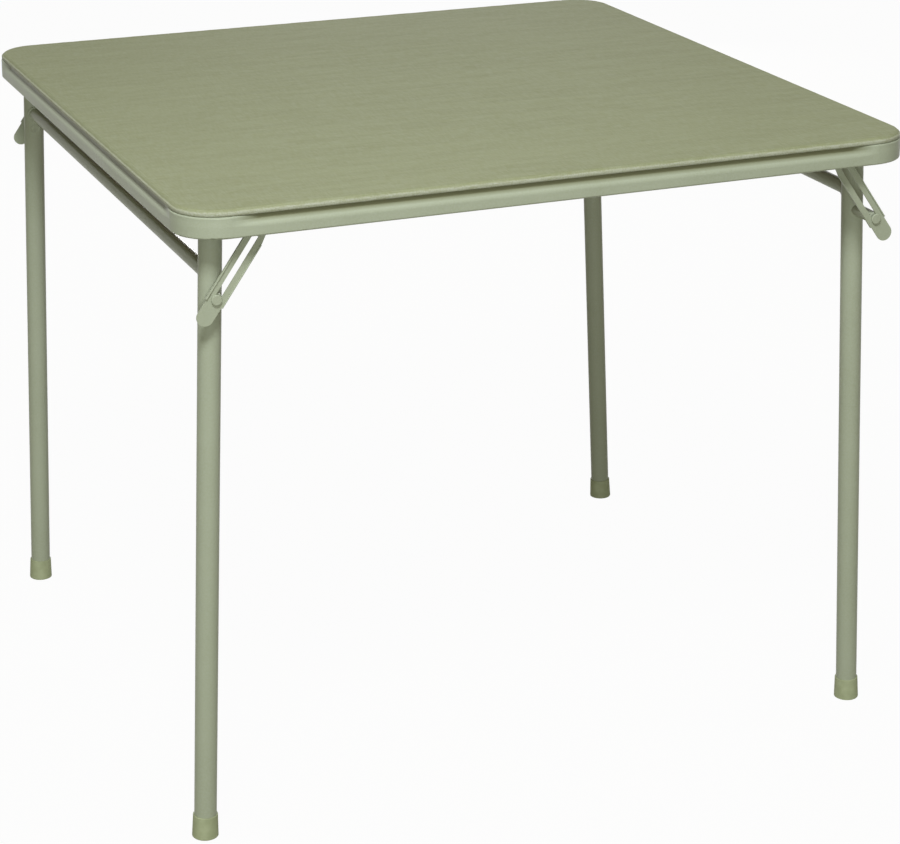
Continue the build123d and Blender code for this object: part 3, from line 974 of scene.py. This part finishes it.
def weld_bead(sx, sy, side):
    """The weld round a crossbar's end, laid on the leg: a rippled ring that follows the tube."""
    ring_radius = CROSSBAR_RADIUS + BEAD_STANDOFF
    deselect_all()
    bpy.ops.mesh.primitive_torus_add(
        major_segments=72,
        minor_segments=10,
        major_radius=ring_radius,
        minor_radius=BEAD_RADIUS,
        rotation=(pi / 2, 0, 0),
    )
    bead = bpy.context.object
    apply_place(bead)
    for vertex in bead.data.vertices:
        around = atan2(vertex.co.z, vertex.co.x)
        spot = Vector((cos(around) * NOISE_REACH, sin(around) * NOISE_REACH, sx + 2 * sy))
        uneven = noise.noise(spot)
        ripple = 1 + BEAD_RIPPLE * sin(BEAD_RIPPLES * around) + BEAD_UNEVENNESS * uneven
        ring = Vector((cos(around), 0, sin(around))) * ring_radius
        vertex.co = ring + (vertex.co - ring) * ripple
        across = min(abs(ring.x), TUBE_RADIUS * TUBE_SHARE)
        vertex.co.y -= sy * sqrt(TUBE_RADIUS**2 - across**2)
    bead.location = leg_point(sx, sy, side, CROSSBAR_DROP)
    return bead


# Peened tails of the shoulder rivets. Each ring of the face is (inset, rise), in millimetres.
TAIL_RADIUS = 6.4 * MM
TAIL_DEPTH = 1.6 * MM
TAIL_EDGE = 0.7 * MM
TAIL_RINGS = [(1.2, 0), (1.0, 0), (0.8, -0.8), (0.8, -0.3)]
TAIL_SPREAD = 0.16
TAIL_LOBES = 5
TAIL_LOBE = 0.06
HAMMER_DEPTH = 1.1 * MM
HAMMER_RATE = 520
TAIL_SEAT = TUBE_RADIUS - 0.35 * MM


def peened_tail(sx, sy, side):
    """The shoulder rivet's tail inside the leg: a hammered ring with a dimple."""
    deselect_all()
    bpy.ops.mesh.primitive_cylinder_add(
        vertices=44, radius=TAIL_RADIUS, depth=TAIL_DEPTH, rotation=(pi / 2, 0, 0)
    )
    tail = bpy.context.object
    apply_place(tail)
    select_faces(tail, lambda face: face.normal.y * sy < -FACING)
    bpy.ops.mesh.bevel(offset=TAIL_EDGE, segments=3, affect="EDGES")
    bpy.ops.object.mode_set(mode="OBJECT")
    facing = [face for face in tail.data.polygons if face.normal.y * sy < -FACING]
    widest = max(facing, key=lambda face: face.area).index
    select_faces(tail, lambda face: face.index == widest)
    for inset, rise in TAIL_RINGS:
        bpy.ops.mesh.inset(thickness=inset * MM, depth=rise * MM)
    bpy.ops.object.mode_set(mode="OBJECT")
    for vertex in tail.data.vertices:
        around = atan2(vertex.co.z, vertex.co.x)
        out = sqrt(vertex.co.x**2 + vertex.co.z**2) / TAIL_RADIUS
        along = NOISE_REACH * cos(around) * out
        up = NOISE_REACH * sin(around) * out
        spot = Vector((along, up, sx + 2 * sy))
        spread = TAIL_SPREAD * out * noise.noise(spot)
        vertex.co.x *= 1 + spread
        vertex.co.z *= 1 + spread + TAIL_LOBE * out * sin(TAIL_LOBES * around)
        if vertex.co.y * sy < 0:
            hammered = abs(noise.noise(vertex.co * HAMMER_RATE))
            vertex.co.y += sy * HAMMER_DEPTH * hammered
    tail.location = leg_point(sx, sy, side, RIVET_DROP) - Vector((0, sy * TAIL_SEAT, 0))
    return tail


def leg_pair_detail(make, name, side, smooth):
    """One detail made at both legs of a pair, joined, painted and set to ride on that pair."""
    pieces = [make(SIDES[side], sy, side) for sy in ENDS.values()]
    for piece in pieces:
        apply_place(piece)
    settle(
        join(pieces), f"{name}_{side}", PAINT, f"{side}_legs", smooth=smooth
    )


# Spot weld marks: their size, and at each corner two beside the leg's line and two by the rail
MARK_RADIUS = 2.6 * MM
MARK_DEPTH = 0.3 * MM
MARK_RIM = 0.5 * MM
MARK_SINK = 0.25 * MM
MARK_LEG_X = 412 * MM
MARK_LEG_OFFSETS = (12 * MM, -8 * MM)
MARK_RAIL_PLACES = ((374 * MM, 415 * MM), (401 * MM, 412 * MM))


def spot_welds():
    """Spot weld marks under the gussets and hinge webs: shallow rings left by the electrode."""
    deselect_all()
    bpy.ops.mesh.primitive_cylinder_add(vertices=20, radius=MARK_RADIUS, depth=MARK_DEPTH)
    mark = bpy.context.object
    apply_place(mark)
    select_faces(mark, lambda face: face.normal.z < -FACING)
    bpy.ops.mesh.inset(thickness=MARK_RIM)
    bpy.ops.mesh.inset(thickness=MARK_RIM, depth=-MARK_SINK)
    bpy.ops.object.mode_set(mode="OBJECT")
    copies = []
    for side, sx in SIDES.items():
        beside_leg = [(MARK_LEG_X, PAIR_Y[side] + offset) for offset in MARK_LEG_OFFSETS]
        for sy in ENDS.values():
            for x, y in (*beside_leg, *MARK_RAIL_PLACES):
                copy = copy_of(mark)
                copy.location = (sx * x, sy * y, GUSSET_BOTTOM)
                apply_place(copy)
                copies.append(copy)
    bpy.data.objects.remove(mark)
    settle(join(copies), "spot_weld_marks", PAINT, "table_top")


padded_top()
foam_slab()
cover_staples()
panel_screw_set()
for side in SIDES:
    leg_pair_detail(weld_bead, "crossbar_welds", side, smooth=60)
    leg_pair_detail(peened_tail, "rivet_tails", side, smooth=40)
spot_welds()

# Studio: a wide pale floor, white surroundings and three soft boxes
FLOOR_SIZE = 60
# The camera sees nearly all white and a little of the lit floor, so the shadow stays, faintly
FLOOR_WHITE_SHARE = 0.97
FILL_STRENGTH = 0.21
WHITE = (1, 1, 1, 1)


def seen_ray(tree):
    """One for what the camera sees, straight or in a reflection, and nought for other rays."""
    rays = add_node(tree, "ShaderNodeLightPath")
    seen = add_node(
        tree,
        "ShaderNodeMath",
        {0: rays.outputs["Is Camera Ray"], 1: rays.outputs["Is Glossy Ray"]},
        operation="MAXIMUM",
    )
    seen = add_node(
        tree,
        "ShaderNodeMath",
        {0: seen.outputs["Value"], 1: rays.outputs["Is Transmission Ray"]},
        operation="MAXIMUM",
    )
    return seen.outputs["Value"]


def studio_floor():
    """Pale floor: plain to light and shadow, near white to the camera and in reflections."""
    deselect_all()
    bpy.ops.mesh.primitive_plane_add(size=FLOOR_SIZE, location=(0, 0, 0))
    floor = bpy.context.object
    floor.name = "floor"
    material = bpy.data.materials.new("studio_floor")
    material.use_nodes = True
    tree = material.node_tree
    tree.nodes.clear()
    matt = add_node(tree, "ShaderNodeBsdfDiffuse", {"Color": linear("#A3A190")})
    white = add_node(tree, "ShaderNodeEmission", {"Color": WHITE, "Strength": 1.0})
    backdrop = add_node(
        tree,
        "ShaderNodeMixShader",
        {0: FLOOR_WHITE_SHARE, 1: matt.outputs["BSDF"], 2: white.outputs["Emission"]},
    )
    surface = add_node(
        tree,
        "ShaderNodeMixShader",
        {0: seen_ray(tree), 1: matt.outputs["BSDF"], 2: backdrop.outputs["Shader"]},
    )
    add_node(tree, "ShaderNodeOutputMaterial", {"Surface": surface.outputs["Shader"]})
    floor.data.materials.append(material)


def studio_world():
    """Even white surroundings: plain level for light, white to the camera."""
    world = bpy.data.worlds.new("studio")
    world.use_nodes = True
    tree = world.node_tree
    tree.nodes.clear()
    fill = add_node(
        tree,
        "ShaderNodeBackground",
        {"Color": linear("#F8EFC8"), "Strength": FILL_STRENGTH},
    )
    white = add_node(tree, "ShaderNodeBackground", {"Color": WHITE, "Strength": 1.0})
    mix = add_node(
        tree,
        "ShaderNodeMixShader",
        {0: seen_ray(tree), 1: fill.outputs["Background"], 2: white.outputs["Background"]},
    )
    add_node(tree, "ShaderNodeOutputWorld", {"Surface": mix.outputs["Shader"]})
    bpy.context.scene.world = world


def soft_box(name, place, aim, width, height, power, colour="#FFFFFF"):
    """A rectangular lamp at a place, turned to its aim. Its power is in watts."""
    deselect_all()
    bpy.ops.object.light_add(type="AREA", location=place)
    lamp = bpy.context.object
    lamp.name = name
    lamp.rotation_euler = (Vector(aim) - Vector(place)).to_track_quat("-Z", "Y").to_euler()
    lamp.data.shape = "RECTANGLE"
    lamp.data.size = width
    lamp.data.size_y = height
    lamp.data.energy = power
    lamp.data.color = linear(colour)[:3]
    lamp.visible_camera = False


studio_floor()
studio_world()
soft_box("key_light", (-0.85, -1.7, 2.9), (0, 0, 0.6), 0.6, 0.6, 76, "#F2F6FF")
soft_box("front_light", (-2.1, -5.6, 0.95), (0, 0, 0.4), 1.2, 1.2, 112, "#F4F8FF")
soft_box("back_light", (1.4, 3.4, 0.6), (0, 0, 0.4), 1.4, 0.9, 36)

scene = bpy.context.scene
scene.view_settings.view_transform = "Standard"
